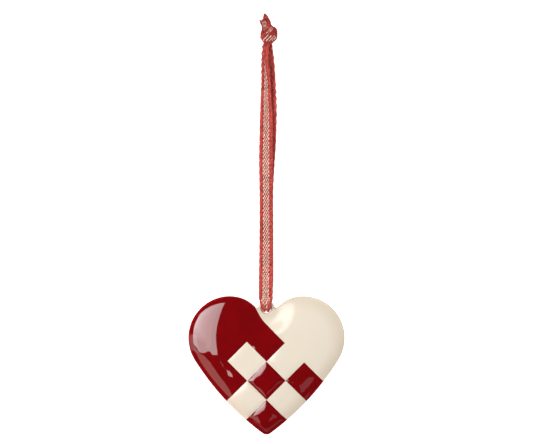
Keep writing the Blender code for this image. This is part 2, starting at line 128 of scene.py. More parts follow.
LEAST_FOLD = 0.02
YARN_SEED = 11
rng = np.random.default_rng(YARN_SEED)


def smooth_route(points, parts=12):
    """A Catmull-Rom spline: each span is the cubic whose end slopes are half the step between its
    neighbouring points, read at equal shares of the span."""
    points = np.array(points, dtype=float)
    padded = np.vstack((2 * points[0] - points[1], points, 2 * points[-1] - points[-2]))
    before, start, end, after = (padded[i:len(padded) - 3 + i, None, :] for i in range(4))
    t = (np.arange(parts) / parts)[None, :, None]
    spans = 0.5 * (
        2 * start + (end - before) * t + (2 * before - 5 * start + 4 * end - after) * t**2
        + (3 * start - before - 3 * end + after) * t**3
    )
    return np.vstack((spans.reshape(-1, points.shape[1]), points[-1:]))


def unit(vectors):
    """The vectors at length one."""
    return vectors / np.linalg.norm(vectors, axis=-1, keepdims=True)


def tape_run(centre, across, share, fold, rise, pinch):
    """How a stretch of tape lies, as arrays along its middle line: the distance from its start, the
    line's points, the direction across the tape (made square to the line), the outward direction
    (line times across), the share of width that shows, its fold's angle and rise, and its pinch."""
    along = unit(np.gradient(centre, axis=0))
    across = np.broadcast_to(across, centre.shape)
    across = unit(across - along * np.sum(along * across, axis=1, keepdims=True))
    steps = np.linalg.norm(np.diff(centre, axis=0), axis=1)
    distance = np.concatenate(([0.0], np.cumsum(steps)))
    rows = np.column_stack((centre, across, np.cross(along, across), share, fold, rise, pinch))
    return distance, rows


def strand_run(route, folds):
    """A strand's run: its folds are read by y, and its width lies along X."""
    curve = smooth_route(route)
    folds = np.array(folds)
    folds = folds[np.argsort(folds[:, 0])]
    fold = np.radians(np.interp(curve[:, 1], folds[:, 0], folds[:, 1]))
    rise = np.interp(curve[:, 1], folds[:, 0], folds[:, 2]) * MM
    pinch = np.interp(curve[:, 1], folds[:, 0], folds[:, 3])
    return tape_run(curve[:, :3] * MM, (1.0, 0.0, 0.0), curve[:, 3], fold, rise, pinch)


def run_length(run):
    """How long a run's middle line is."""
    return run[0][-1]


def lay(run, flat):
    """Places points of the flat tape (across, along, out of its face) on a run. Across the tape the
    section is a flattened arc: sideways it goes as the sine of the fold's angle, and outwards as
    one minus its cosine, both read at the share of the half width raised to the pinch."""
    distance, rows = run
    along = flat[..., 1]
    read = np.stack([np.interp(along, distance, column) for column in rows.T], axis=-1)
    centre = read[..., 0:3]
    across = read[..., 3:6]
    out = read[..., 6:9]
    share = read[..., 9]
    fold = np.maximum(read[..., 10], LEAST_FOLD)
    rise = read[..., 11]
    place = flat[..., 0] / (TAPE_WIDTH / 2)
    turn = fold * np.sign(place) * np.abs(place) ** read[..., 12]
    radius = share * TAPE_WIDTH / 2 / np.sin(np.minimum(fold, math.pi / 2))
    lift = rise / (1 - np.cos(fold))
    side = radius * np.sin(turn)
    height = lift * (1 - np.cos(turn))
    slope = np.stack((radius * np.cos(turn), lift * np.sin(turn)), axis=-1)
    slope = unit(slope)
    side = side - slope[..., 1] * flat[..., 2]
    height = height + slope[..., 0] * flat[..., 2]
    return centre + across * side[..., None] + out * height[..., None]


def tubes(centres, sideways, wide, high, order):
    """Yarns as six-sided tubes in flat tape places. Round each ring the point moves by the cosine of
    its turn along the sideways direction and by its sine out of the face, and each end closes."""
    turn = np.arange(YARN_SIDES) / YARN_SIDES * 2 * math.pi * order
    taper = np.ones(centres.shape[1])
    taper[[0, -1]] = YARN_TAPER
    size = taper[None, :, None]
    points = np.repeat(centres[:, :, None, :], YARN_SIDES, axis=2)
    points[..., sideways] += np.cos(turn) * wide[:, None, None] * size
    points[..., 2] += np.sin(turn) * high[:, None, None] * size
    return points


def tube_faces(shape, first):
    """Corner numbers of the quads round each tube and of the two caps that close it, and where each
    quad's corners lie: along the tube in rings, and round it in shares of a turn."""
    count, rings, sides = shape
    number = first + np.arange(count * rings * sides).reshape(count, rings, sides)
    after = np.roll(number, -1, axis=2)
    quads = np.stack((number[:, :-1], after[:, :-1], after[:, 1:], number[:, 1:]), axis=-1)
    ring, side = np.meshgrid(np.arange(rings - 1), np.arange(sides) / sides, indexing="ij")
    ring = np.stack((ring, ring, ring + 1, ring + 1), axis=-1)
    side = np.stack((side, side + 1 / sides, side + 1 / sides, side), axis=-1)
    places = np.stack((ring, side), axis=-1)
    places = np.broadcast_to(places, (count,) + places.shape)
    caps = np.concatenate((number[:, 0, ::-1], number[:, -1]))
    return quads.reshape(-1, 4), places.reshape(-1, 2), caps


PLAIN = (0, 0, 0, 0, 1, 1, 1, 1, 1, 1, 0, 0, 0, 0)


def weave(length, laid, cream_yarns=PLAIN, shown=(-math.inf, math.inf), skew=0.0):
    """The yarns of a stretch of tape of that length, put in place by the laid function. Warp yarns
    wave in and out of the face as the cosine of their place along the tape, each a half wave behind
    its neighbour, and the weft waves the other way. The red edges are a twill: their waves are longer
    and slip by a quarter. Yarns are cream where their number is 1 and their distance from
    the stretch's middle, skewed by their place across, is within the shown pair. These then float."""
    cream_start = -TAPE_WIDTH / 2 + LEFT_YARNS * LEFT_PITCH
    cream_end = cream_start + CREAM_YARNS * CREAM_PITCH
    left = -TAPE_WIDTH / 2 + (np.arange(LEFT_YARNS) + 0.5) * LEFT_PITCH
    cream = cream_start + (np.arange(CREAM_YARNS) + 0.5) * CREAM_PITCH
    right = cream_end + (np.arange(RIGHT_YARNS) + 0.5) * RIGHT_PITCH
    place = np.concatenate((left, cream, right))
    pitch = np.repeat((LEFT_PITCH, CREAM_PITCH, RIGHT_PITCH), (LEFT_YARNS, CREAM_YARNS, RIGHT_YARNS))
    in_middle = np.repeat((0.0, 1.0, 0.0), (LEFT_YARNS, CREAM_YARNS, RIGHT_YARNS))
    index = np.arange(len(place))

    rings = int(length / PICK * RINGS_PER_PICK) + 1
    along = np.broadcast_to(np.linspace(0, length, rings), (len(place), rings))
    plain = np.cos(math.pi * (along / PICK + index[:, None]))
    twill = np.cos(math.pi * (along / (TWILL_LENGTH * PICK) + 0.5 * index[:, None]))
    from_middle = along - length / 2 + skew * place[:, None]
    is_cream = np.array(cream_yarns)[:, None] * ((from_middle > shown[0]) & (from_middle < shown[1]))
    wave = np.where(in_middle[:, None] > 0, plain, twill) * WARP_WAVE
    if np.isfinite(shown[0]):
        wave = wave + is_cream * FLOAT_HEIGHT
    spread = np.where(in_middle > 0, CREAM_SPREAD, RED_SPREAD)
    edge = np.clip((np.abs(place) - SELVAGE_START) / SELVAGE_WIDTH, 0, 1) * np.sign(place)
    drift = np.sign(place)[:, None] + np.sin(along / SELVAGE_DRIFT)
    bump = np.cos(2 * math.pi * along / SELVAGE_PITCH + drift)
    aside = place[:, None] + edge[:, None] * bump * SELVAGE_BUMP
    warps = tubes(
        np.stack((aside, along, wave), axis=-1), 0, pitch * spread, np.full(len(place), WARP_HEIGHT / 2), 1
    )

    picks = (np.arange(int(length / PICK)) + 0.5) * PICK
    stations = np.linspace(0, 1, 3 * len(place) + 1)
    reach = TAPE_WIDTH / 2 - WEFT_INSET
    across = np.broadcast_to(-reach + 2 * reach * stations, (len(picks), len(stations)))
    lane = np.interp(across, place, index)
    middle = np.interp(across, place, in_middle)
    row = (np.arange(len(picks)) + 0.5)[:, None]
    under = -np.cos(math.pi * (lane + row)) * WEFT_WAVE * middle
    bow = picks[:, None] + WEFT_BOW * np.cos(across / TAPE_WIDTH * math.pi) * np.sin(row * 0.7)
    wefts = tubes(
        np.stack((across, bow, under), axis=-1), 1,
        WEFT_WIDTH / 2 * rng.uniform(*WEFT_VARIES, len(picks)), np.full(len(picks), WEFT_HEIGHT / 2), -1,
    )

    warp_quads, warp_places, warp_caps = tube_faces(warps.shape[:3], 0)
    weft_quads, weft_places, weft_caps = tube_faces(wefts.shape[:3], warps[..., 0].size)
    warp_places = warp_places * (PICK / RINGS_PER_PICK / MM, 1)
    weft_places = weft_places * (2 * reach / (len(stations) - 1) / MM, 1)
    return {
        "points": np.concatenate((laid(warps).reshape(-1, 3), laid(wefts).reshape(-1, 3))),
        "quads": np.concatenate((warp_quads, weft_quads)),
        "places": np.concatenate((warp_places, weft_places)),
        "caps": np.concatenate((warp_caps, weft_caps)),
        "cream": np.concatenate((np.repeat(is_cream, warps.shape[2]), np.zeros(wefts[..., 0].size))),
        "tone": np.concatenate((
            np.repeat(rng.uniform(0, 1, len(place)), warps[0, ..., 0].size),
            np.repeat(rng.uniform(0, 1, len(picks)), wefts[0, ..., 0].size),
        )),
    }


def together(parts):
    """Several woven stretches as one, with the later ones' corner numbers moved on."""
    first = np.cumsum([0] + [len(part["points"]) for part in parts[:-1]])
    kept = ("points", "places", "cream", "tone")
    whole = {key: np.concatenate([part[key] for part in parts]) for key in kept}
    for key in ("quads", "caps"):
        whole[key] = np.concatenate([part[key] + start for part, start in zip(parts, first)])
    return whole


def add_mesh(name, points, faces, material):
    """A smooth-shaded object at the origin with the mesh that the points and faces make."""
    mesh = bpy.data.meshes.new(name)
    mesh.from_pydata(points, [], faces)
    mesh.materials.append(material)
    mesh.shade_smooth()
    item = bpy.data.objects.new(name, mesh)
    bpy.context.scene.collection.objects.link(item)
    return item


def add_attribute(item, name, values):
    """A number for each of the object's points, which its material reads by name."""
    item.data.attributes.new(name, "FLOAT", "POINT").data.foreach_set("value", values)


def add_weave(name, cloth, material):
    """A woven piece as an object, with its yarns' colours, and its UV map running along each yarn."""
    item = add_mesh(name, cloth["points"], cloth["quads"].tolist() + cloth["caps"].tolist(), material)
    uv = np.zeros((len(item.data.loops), 2))
    uv[:len(cloth["places"])] = cloth["places"]
    item.data.uv_layers.new(name="along_yarn").data.foreach_set("uv", uv.ravel())
    add_attribute(item, "cream", cloth["cream"])
    add_attribute(item, "tone", cloth["tone"])
    return item


class Socket:
    """A shader value that takes part in Python maths: each operator adds the Math node for it."""

    def __init__(self, finish, output):
        self.finish = finish
        self.output = output

    def maths(self, operation, first, second=0.0):
        return self.finish.node("Math", {"operation": operation}, {0: first, 1: second})

    def __add__(self, other):
        return self.maths("ADD", self, other)

    def __sub__(self, other):
        return self.maths("SUBTRACT", self, other)

    def __rsub__(self, other):
        return self.maths("SUBTRACT", other, self)

    def __mul__(self, other):
        return self.maths("MULTIPLY", self, other)

    def __truediv__(self, other):
        return self.maths("DIVIDE", self, other)

    def __rtruediv__(self, other):
        return self.maths("DIVIDE", other, self)

    __radd__ = __add__
    __rmul__ = __mul__

    def sine(self):
        return self.maths("SINE", self)


class Finish:
    """A material in the making, on Blender's Principled shader."""

    def __init__(self, name, **constants):
        self.material = bpy.data.materials.new(name)
        self.material.use_nodes = True
        self.tree = self.material.node_tree
        self.shader = self.tree.nodes["Principled BSDF"]
        for socket, value in constants.items():
            self.shader.inputs[socket.replace("_", " ").title().replace("Ior", "IOR")].default_value = value

    def node(self, kind, settings, inputs, output=0):
        """Any node: its settings are set first, then each socket gets its value or link."""
        made = self.tree.nodes.new("ShaderNode" + kind)
        for name, value in settings.items():
            setattr(made, name, value)
        for name, value in inputs.items():
            self.feed(made.inputs[name], value)
        return Socket(self, made.outputs[output])

    def feed(self, socket, value):
        if isinstance(value, Socket):
            self.tree.links.new(value.output, socket)
        else:
            socket.default_value = value

    def surface(self, name, value):
        self.feed(self.shader.inputs[name], value)

    def attribute(self, name):
        return self.node("Attribute", {"attribute_name": name}, {}, "Fac")

    def mix(self, factor, first, second):
        """One colour where the factor is 0, the other where it is 1."""
        pick = {0: factor, 6: first, 7: second}
        return self.node("Mix", {"data_type": "RGBA", "clamp_factor": True}, pick, 2)

    def step(self, value, start, end):
        """0 up to the start, 1 from the end, and smooth between them."""
        sockets = {"Value": value, "From Min": start, "From Max": end}
        return self.node("MapRange", {"interpolation_type": "SMOOTHSTEP"}, sockets)

    def noise(self, size, detail=2.0, roughness=0.5, stretch=(1.0, 1.0, 1.0)):
        """Noise on object coordinates, with blotches about as large as the size in metres."""
        place = self.node("TexCoord", {}, {}, "Object")
        place = self.node("Mapping", {}, {"Vector": place, "Scale": stretch})
        sockets = {"Vector": place, "Scale": 1 / size, "Detail": detail, "Roughness": roughness}
        return self.node("TexNoise", {}, sockets)

    def bump(self, height, depth, strength=1.0):
        made = self.node("Bump", {}, {"Height": height, "Distance": depth, "Strength": strength})
        self.surface("Normal", made)


PLY_LENGTH = 0.95
FIBRE_SIZE = 0.12 * MM
PATCH_SIZE = 1.3 * MM
# How much each unevenness counts in the dye's tone, and the painted shade in the ply's grooves, and what is
# taken off so that it centres
YARN_TONE = 0.42
PATCH_TONE = 1.0
FIBRE_TONE = 0.45
PLY_GROOVE_SHADE = 0.12
TONE_OFFSET = 0.33
DARK_RED_YARN = (0.14, 0.006, 0.006, 1)
LIGHT_RED_YARN = (0.71, 0.106, 0.086, 1)
DARK_CREAM_YARN = (0.60, 0.37, 0.29, 1)
LIGHT_CREAM_YARN = (0.96, 0.80, 0.66, 1)


def woven_cotton():
    """Matt cotton yarn: two plies twisted together, with painted shade in the grooves between them.
    Its dye is uneven from yarn to yarn, in patches, and by the fibre."""
    cotton = Finish("woven_cotton", roughness=0.82, sheen_weight=0.06, sheen_roughness=0.4)
    cotton.shader.inputs["Specular IOR Level"].default_value = 0.25
    uv = cotton.node("UVMap", {"uv_map": "along_yarn"}, {})
    split = {name: cotton.node("SeparateXYZ", {}, {"Vector": uv}, name) for name in "XY"}
    ply = ((split["X"] / PLY_LENGTH + split["Y"]) * (2 * math.pi)).sine()
    fibres = cotton.noise(FIBRE_SIZE, 3, 0.7)
    patch = cotton.noise(PATCH_SIZE)
    tone = cotton.attribute("tone") * YARN_TONE + patch * PATCH_TONE
    # Painted shade: the ply's sine darkens the grooves between the plies
    tone = tone + fibres * FIBRE_TONE + ply * PLY_GROOVE_SHADE - TONE_OFFSET
    red = cotton.mix(tone, DARK_RED_YARN, LIGHT_RED_YARN)
    cream = cotton.mix(tone, DARK_CREAM_YARN, LIGHT_CREAM_YARN)
    cotton.surface("Base Color", cotton.mix(cotton.attribute("cream"), red, cream))
    cotton.bump(ply * 0.5 + fibres * 0.6, 0.06 * MM, 0.8)
    return cotton.material


def add_strand(name, run, material):
    """A strand of the ribbon, in the place of its share of the ribbon's solid."""
    strand = add_weave(name, weave(run_length(run), partial(lay, run)), material)
    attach(strand, "root")
    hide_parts("ribbon_loop")
    return strand


cotton = woven_cotton()
turn_point = (np.array(FRONT_STRAND[-1]) + np.array(BACK_STRAND[0])) / 2
front_run = strand_run(np.vstack((FRONT_IN_KNOT, FRONT_STRAND, turn_point)), FRONT_FOLDS)
back_run = strand_run(np.vstack((turn_point, BACK_STRAND, BACK_IN_KNOT)), BACK_FOLDS)
front_strand = add_strand("ribbon_front_strand", front_run, cotton)
back_strand = add_strand("ribbon_back_strand", back_run, cotton)


# Knot
# The doubled tape is tied in one overhand knot: a broad turn slants over its front, a folded one
# lies above it, and the two cut ends stick up out of the top. It is pulled into a firm lump.
KNOT_MIDDLE = np.array((0.95, 147.95, 3.1)) * MM
KNOT_RADII = np.array((3.5, 3.8, 2.55)) * MM
CORE_INSET = 0.35 * MM
LOOP_TURN = 2.2
# Painted shade: the knot's yarns are painted darker than the strands', and its core, seen only in the gaps
# between the turns, darker still
KNOT_SHADE_SCALE = 0.6
KNOT_SHADE_OFFSET = 0.2
CORE_SHADE_TONE = 0.1
# Which of the fourteen warp yarns float as cream ones on each stretch
STRIPES = (0, 0, 0, 1, 0, 1, 0, 1, 0, 1, 0, 0, 0, 0)
THIN_STRIPES = (0, 0, 0, 0, 0, 1, 0, 1, 0, 0, 0, 0, 0, 0)
NO_CREAM = (0, 0, 0, 0, 0, 0, 0, 0, 0, 0, 0, 0, 0, 0)


def wrap(slant, aside, swell, flat):
    """Wraps the flat tape round the knot's lump. Along the tape a point turns round an axis that lies
    square to the slanting tape, and across it the point climbs towards that axis, both by its
    distance over the lump's mean radius. The direction it gets is stretched to the lump's radii."""
    mean = KNOT_RADII.mean()
    turn = flat[..., 1:2] / mean - math.pi
    climb = flat[..., 0:1] / mean + aside
    forward = np.array((math.cos(slant), math.sin(slant), 0.0))
    axis = np.array((-math.sin(slant), math.cos(slant), 0.0))
    upward = np.array((0, 0, 1.0))
    way = np.cos(climb) * (forward * np.sin(turn) + upward * np.cos(turn)) + axis * np.sin(climb)
    return KNOT_MIDDLE + way * (KNOT_RADII + swell + flat[..., 2:3])


def loop_run(middle, radius, share, fold, rise):
    """A small loop of tape that lies flat in the picture: most of a circle about its middle, with the
    tape's width upright."""
    angle = np.linspace(-LOOP_TURN, LOOP_TURN, 40)[:, None]
    centre = (np.array(middle) + radius * np.hstack((np.cos(angle), np.sin(angle), 0 * angle))) * MM
    full = np.ones(len(centre))
    upright = (0.0, 0.0, 1.0)
    return tape_run(centre, upright, full * share, full * math.radians(fold), full * rise * MM, full)


def tail_run(route, across):
    """A cut end's run: x, y, z in mm, share of width, fold in degrees and rise in mm by point."""
    curve = smooth_route(route)
    fold = np.radians(curve[:, 4])
    return tape_run(curve[:, :3] * MM, across, curve[:, 3], fold, curve[:, 5] * MM, np.ones(len(curve)))


# Routes in the knot: x, y, z in mm, share of the tape's width, fold in degrees, and rise in mm
UPPER_TAIL = (
    (1.2, 148.8, 3.4, 0.60, 150, 1.0), (0.6, 151.2, 4.2, 0.58, 168, 1.2),
    (0.0, 153.2, 4.2, 0.56, 172, 1.2), (-0.4, 155.4, 3.8, 0.38, 172, 0.9),
    (-0.85, 157.5, 3.2, 0.03, 170, 0.2),
)
SIDE_TAIL = (
    (-0.4, 147.6, 3.6, 0.48, 30, 0.3), (-0.6, 150.0, 5.1, 0.50, 25, 0.2),
    (-1.0, 152.4, 5.7, 0.52, 25, 0.2), (-1.9, 154.8, 5.5, 0.58, 40, 0.3),
)
UPPER_TURN = (
    (-1.4, 146.9, 4.3, 0.44, 95, -0.6), (0.3, 148.5, 5.7, 0.46, 95, -0.6),
    (1.8, 150.2, 5.9, 0.46, 95, -0.6), (3.0, 151.6, 5.0, 0.42, 95, -0.6),
)
# The loop at the knot's right side: its middle, radius, share of width, fold and rise
SIDE_LOOP = ((3.35, 149.7, 3.4), 0.85, 0.35, 120, 0.6)
# The turns round the lump: slant in radians, how far above the middle in radians, and height
LOWER_WRAP = (math.radians(42), -0.39, 0.25 * MM)
UPPER_WRAP = (math.radians(40), 0.60, 0.0)
# Where the cream shows, before and after the middle of each stretch
LOWER_STRIPES = (-2.6 * MM, 0.8 * MM)
TURN_STRIPES = (-1.2 * MM, 2.4 * MM)
TAIL_STRIPES = (-1.2 * MM, 2.8 * MM)

round_once = 2 * math.pi * KNOT_RADII.mean()
upper_tail = tail_run(UPPER_TAIL, (-1.0, -0.15, 0.1))
side_tail = tail_run(SIDE_TAIL, (-1.0, -0.2, 0.1))
side_loop = loop_run(*SIDE_LOOP)
upper_turn = tail_run(UPPER_TURN, (-0.7, 0.7, 0.1))

tied = together([
    weave(round_once, partial(wrap, *LOWER_WRAP), STRIPES, LOWER_STRIPES, 1.0),
    weave(round_once, partial(wrap, *UPPER_WRAP), NO_CREAM),
    weave(run_length(upper_turn), partial(lay, upper_turn), THIN_STRIPES, TURN_STRIPES),
    weave(run_length(upper_tail), partial(lay, upper_tail), NO_CREAM),
    weave(run_length(side_tail), partial(lay, side_tail), STRIPES, TAIL_STRIPES),
    weave(run_length(side_loop), partial(lay, side_loop), NO_CREAM),
])
# Painted shade: the knot's yarn tones are scaled down and lowered
tied["tone"] = tied["tone"] * KNOT_SHADE_SCALE - KNOT_SHADE_OFFSET
knot = add_weave("ribbon_knot_weave", tied, cotton)
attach(knot, "root")
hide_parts("ribbon_knot")


def ellipsoid(middle, radii, columns=48, rows=24):
    """Points and faces of an ellipsoid: longitude by latitude, with a single point at each pole."""
    longitude, latitude = np.meshgrid(
        np.arange(columns) / columns * 2 * math.pi, (np.arange(1, rows) / rows - 0.5) * math.pi
    )
    ball = np.stack((
        np.cos(latitude) * np.cos(longitude), np.cos(latitude) * np.sin(longitude), np.sin(latitude)
    ), axis=-1).reshape(-1, 3)
    points = np.vstack((ball, ((0, 0, -1), (0, 0, 1)))) * radii + middle
    number = np.arange((rows - 1) * columns).reshape(rows - 1, columns)
    after = np.roll(number, -1, axis=1)
    quads = np.stack((number[:-1], after[:-1], after[1:], number[1:]), axis=-1).reshape(-1, 4)
    pole = np.full(columns, len(ball))
    bottom = np.stack((pole, after[0], number[0]), axis=-1)
    top = np.stack((pole + 1, number[-1], after[-1]), axis=-1)
    return points, quads.tolist() + bottom.tolist() + top.tolist()


core = add_mesh("ribbon_knot_core", *ellipsoid(KNOT_MIDDLE, KNOT_RADII - CORE_INSET), cotton)
core.data.uv_layers.new(name="along_yarn")
add_attribute(core, "cream", np.zeros(len(core.data.vertices)))
# Painted shade: the core's tone is the darkest of all
add_attribute(core, "tone", np.full(len(core.data.vertices), CORE_SHADE_TONE))
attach(core, "root")
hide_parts("ribbon_knot")


# Heart
# A puffed heart pressed from sheet metal, with a rounded eyelet in its cleft. Glossy enamel covers
# it in the red and cream strips of a woven paper heart, each pillowed a little and parted from the
# next by a fine groove.
HEART_WIDTH = 70.0 * MM
HEART_HEIGHT = 62.0 * MM
LOBE_RADIUS = 18.7 * MM
SHOULDER_RADIUS = 15.4 * MM
FLANK_RADIUS = 120.0 * MM
TIP_RADIUS = 2.9 * MM
CLEFT_RADIUS = 8.0 * MM
FRONT_RISE = 5.1 * MM
BACK_DEPTH = 3.2 * MM
FRONT_FULLNESS = 3.0
BACK_RIM = 0.32
HOLE_RADIUS = 2.0 * MM
EYELET_RADIUS = 3.7 * MM
EYELET_FRONT = 1.4 * MM
EYELET_BACK = 1.2 * MM
EYELET_ROUND = 0.85 * MM
DIP_RADIUS = 0.9 * MM
FRONT_DISH = 13.5 * MM
BACK_DISH = 10.0 * MM
STRIP = 12.1 * MM
LEFT_STRIP = 12.4 * MM
RIGHT_STRIP = 11.6 * MM
GROOVE_DEPTH = 0.14 * MM
GROOVE_MARGIN = 4.3 * MM
GROOVE_POWER = 3
MARGIN_SWING = 0.7 * MM
MARGIN_RIPPLE = 0.35 * MM
RIPPLE_LENGTH = 4.7 * MM
SQUARE_HEIGHT = 17.0 * MM
# How far each square's enamel swells over its seams, by the counts that enamel_at works out
SWELLS = np.array(((0.0, 0.55, 0.66), (0.14, 0.74, 0.20), (0.0, 0.60, 0.14))) * MM
GROOVE_FADE = 0.10
# Small drops that the glaze ran into: x, y, height and reach in mm
GLAZE_DROPS = (
    (-15.0, -5.2, 0.24, 2.1), (-4.8, 7.6, 0.30, 1.2), (10.4, -7.0, 0.28, 1.3), (-2.8, -25.0, 0.24, 2.1),
    (-29.0, 5.4, 0.10, 1.8), (-25.6, 7.2, 0.10, 1.6), (-22.0, 5.6, 0.10, 1.7), (15.5, -12.6, 0.14, 2.2),
)
# Points closer than this are the same point
TOUCHING = 0.001 * MM
# The rim attribute, which counts mm from the rim, stops here
WELL_INSIDE = 50 * MM
# How far the seam beside the eyelet keeps its first and last direction, as shares of its length
SEAM_START = 0.42
SEAM_END = 0.22
HOLE = np.array((0.0, 25.3 * MM))
PUFF = np.array((0.0, 3.5 * MM))
WEAVE = np.array((0.0, -6.5 * MM))
LOBE = np.array((HEART_WIDTH / 2 - LOBE_RADIUS, HEART_HEIGHT / 2 - LOBE_RADIUS))
SHOULDER = np.array((LOBE[0], HEART_HEIGHT / 2 - SHOULDER_RADIUS))
TIP = np.array((0.0, TIP_RADIUS - HEART_HEIGHT / 2))


def arc(centre, radius, start, end, count):
    """Points on a round arc: its centre plus the radius times the cosine and sine of the angle."""
    angles = np.linspace(start, end, count)[:, None]
    return centre + radius * np.hstack((np.cos(angles), np.sin(angles)))


def angle_to(start, end):
    """Direction from one point to another, in radians."""
    return math.atan2(end[1] - start[1], end[0] - start[0])


def touching_centre(first, first_distance, second, second_distance, side):
    """The point at two given distances from two points, on one side of the line between them: where
    an arc's centre lies that touches two other arcs."""
    gap = second - first
    length = np.hypot(*gap)
    along = (first_distance**2 - second_distance**2 + length**2) / (2 * length)
    aside = math.sqrt(first_distance**2 - along**2)
    return first + gap / length * along + side * aside * np.array((-gap[1], gap[0])) / length


def heart_outline(with_eyelet):
    """The heart's edge, clockwise from the top: the eyelet and the small dip beside it, or else a
    round cleft in their place, then shoulder, lobe, long flank and tip, each an arc that meets the
    next one smoothly, and their mirror image."""
    if with_eyelet:
        dip = touching_centre(HOLE, EYELET_RADIUS + DIP_RADIUS, SHOULDER, SHOULDER_RADIUS + DIP_RADIUS, 1)
        meet = angle_to(SHOULDER, dip)
        top = np.concatenate((
            arc(HOLE, EYELET_RADIUS, math.pi / 2, angle_to(HOLE, dip), 60),
            arc(dip, DIP_RADIUS, angle_to(HOLE, dip) - math.pi, meet - math.pi, 30)[1:],
        ))
    else:
        reach = SHOULDER_RADIUS + CLEFT_RADIUS
        bottom = np.array((0.0, SHOULDER[1] + math.sqrt(reach**2 - SHOULDER[0] ** 2)))
        meet = angle_to(SHOULDER, bottom)
        top = arc(bottom, CLEFT_RADIUS, -math.pi / 2, meet - math.pi, 40)
    flank = touching_centre(LOBE, FLANK_RADIUS - LOBE_RADIUS, TIP, FLANK_RADIUS - TIP_RADIUS, -1)
    half = np.concatenate((
        top,
        arc(SHOULDER, SHOULDER_RADIUS, meet, math.pi / 2, 60)[1:],
        arc(LOBE, LOBE_RADIUS, math.pi / 2, angle_to(flank, LOBE), 160)[1:],
        arc(flank, FLANK_RADIUS, angle_to(flank, LOBE), angle_to(flank, TIP), 80)[1:],
        arc(TIP, TIP_RADIUS, angle_to(flank, TIP), -math.pi / 2, 30)[1:],
    ))
    whole = np.concatenate((half, half[-2:0:-1] * (-1, 1)))
    return np.vstack((whole, whole[:1]))


def weave_point(along_right, along_left):
    """A point of the weave from its places along the right lobe's and the left lobe's strips."""
    return WEAVE + np.array((along_right + along_left, along_right - along_left)) / math.sqrt(2)


def cleft_seam():
    """The edge of the left lobe beside the eyelet: one cubic curve from the weave's top corner."""
    start = weave_point(STRIP / 2 + RIGHT_STRIP, -STRIP / 2 - LEFT_STRIP)
    angle = math.pi - angle_to(SHOULDER, HOLE + EYELET_RADIUS)
    end = SHOULDER * (-1, 1) + SHOULDER_RADIUS * np.array((math.cos(angle), math.sin(angle)))
    length = np.hypot(*(end - start))
    leave = start + np.array((-1, 1)) / math.sqrt(2) * length * SEAM_START
    arrive = end + np.array((math.sin(angle), -math.cos(angle))) * length * SEAM_END
    t = np.linspace(0, 1, 9)[:, None]
    return (1 - t) ** 3 * start + 3 * (1 - t) ** 2 * t * leave + 3 * (1 - t) * t**2 * arrive + t**3 * end


def colour_seams():
    """Every line where the two colours meet, each as a row of points that may run past the rim."""
    inner = STRIP / 2
    right = inner + RIGHT_STRIP
    left = -inner - LEFT_STRIP
    far = HEART_WIDTH
    seams = (
        (weave_point(right, -inner), weave_point(-far, -inner)),
        (weave_point(right, inner), weave_point(-far, inner)),
        (weave_point(-inner, left), weave_point(-inner, far)),
        (weave_point(inner, left), weave_point(inner, far)),
        (weave_point(-inner, left), weave_point(inner, left)),
        (weave_point(right, left), weave_point(right, -inner)),
        (weave_point(right, inner), weave_point(right, far)),
    )
    return [np.array(seam) for seam in seams] + [cleft_seam()]


def distance_to_row(points, row):
    """Distance of each point to a row of straight pieces."""
    start = row[:-1]
    run = row[1:] - start
    offset = points[:, None] - start
    share = np.clip(np.sum(offset * run, axis=2) / np.sum(run * run, axis=1), 0, 1)
    return np.linalg.norm(offset - share[..., None] * run, axis=2).min(axis=1)


def fade(share):
    """A smooth fall from 1 to 0 as the share goes from 0 to 1: one less three squares, plus two cubes."""
    share = np.clip(share, 0, 1)
    return 1 - share * share * (3 - 2 * share)


def rim_share(points, outline):
    """How far each point is from the puff's centre, as a share of the outline's reach that way."""
    turn = np.arctan2(outline[:, 0], outline[:, 1] - PUFF[1])
    reach = np.hypot(outline[:, 0], outline[:, 1] - PUFF[1])
    order = np.argsort(turn)
    offset = points - PUFF
    reach = np.interp(np.arctan2(offset[:, 0], offset[:, 1]), turn[order], reach[order], period=2 * math.pi)
    return np.clip(np.hypot(*offset.T) / reach, 0, 1)


def enamel_at(points):
    """Which points lie on red enamel, and how far the enamel swells there. Strips are counted from the
    weave's middle both ways, and a square is red where the two counts make an even number. The left
    lobe is red up to its seam, and the swell dies away into the lobes."""
    offset = (points - WEAVE) / math.sqrt(2)
    right = offset[:, 0] + offset[:, 1]
    left = offset[:, 0] - offset[:, 1]
    inner = STRIP / 2
    right_count = np.digitize(right, (-inner, inner))
    left_count = np.digitize(left, (-inner, inner))
    red = (right_count + left_count) % 2 == 0
    over_lobe = left < -inner - LEFT_STRIP
    past_corner = right > inner + RIGHT_STRIP
    seam = cleft_seam()
    beside_seam = points[:, 0] < np.interp(points[:, 1], seam[:, 1], seam[:, 0])
    red = np.where(past_corner, False, red)
    red = np.where(over_lobe, ~past_corner | beside_seam, red)
    swell = SWELLS[right_count, left_count]
    beside_corner = (right_count == 2) & (left_count == 1)
    to_lobe = fade((right - inner - RIGHT_STRIP / 3) / (RIGHT_STRIP * 2 / 3))
    swell = np.where(beside_corner, swell * to_lobe, swell)
    return red, np.where(over_lobe | past_corner, 0.0, swell)


